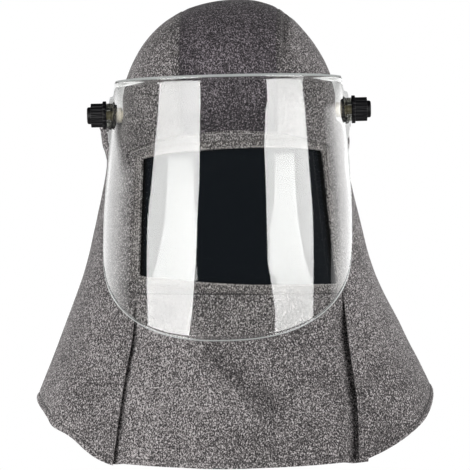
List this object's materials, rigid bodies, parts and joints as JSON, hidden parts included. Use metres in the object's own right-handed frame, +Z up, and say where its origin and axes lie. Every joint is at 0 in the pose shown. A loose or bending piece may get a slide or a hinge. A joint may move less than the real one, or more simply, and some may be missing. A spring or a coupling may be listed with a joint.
{
  "type": "cut-resistant hood with flip-up visor",
  "caption": "Protective hood of mottled grey cut-resistant cloth with a round crown, a flared shoulder cape, a dark face window and a clear curved visor that flips up on side knobs.",
  "frame": {"origin": "underside of the crown at its top, where the wearer's head carries the hood", "axes": "+Z up, -Y out of the face, +X to the right as seen from the front"},
  "size_m": [0.3585, 0.2984, 0.4146],
  "materials": {
    "cloth": "mottled salt-and-pepper knit",
    "band": "mottled knit, doubled and stitched",
    "pane": "dark glossy sheet",
    "visor": "clear polished polycarbonate",
    "knob": "moulded black",
    "bush": "moulded cream"
  },
  "bodies": {
    "hood": {"crown_back_panel": "cloth", "left_side_panel": "cloth", "right_side_panel": "cloth", "front_panel": "cloth", "window_frame": "band", "window_pane": "pane", "left_post": "bush", "right_post": "bush", "left_washer": "knob", "right_washer": "knob"},
    "visor": {"visor": "visor"},
    "left_knob": {"left_knob": "knob"},
    "right_knob": {"right_knob": "knob"}
  },
  "joints": [
    {"name": "visor_flip", "type": "hinge", "parent": "hood", "child": "visor", "pos_m": [0, 0, -0.099], "axis": [-1, 0, 0], "range_deg": [0, 90]},
    {"name": "left_knob_turn", "type": "hinge", "parent": "hood", "child": "left_knob", "pos_m": [-0.119, 0, -0.099], "axis": [-1, 0, 0], "continuous": true},
    {"name": "right_knob_turn", "type": "hinge", "parent": "hood", "child": "right_knob", "pos_m": [0.119, 0, -0.099], "axis": [1, 0, 0], "continuous": true}
  ]
}
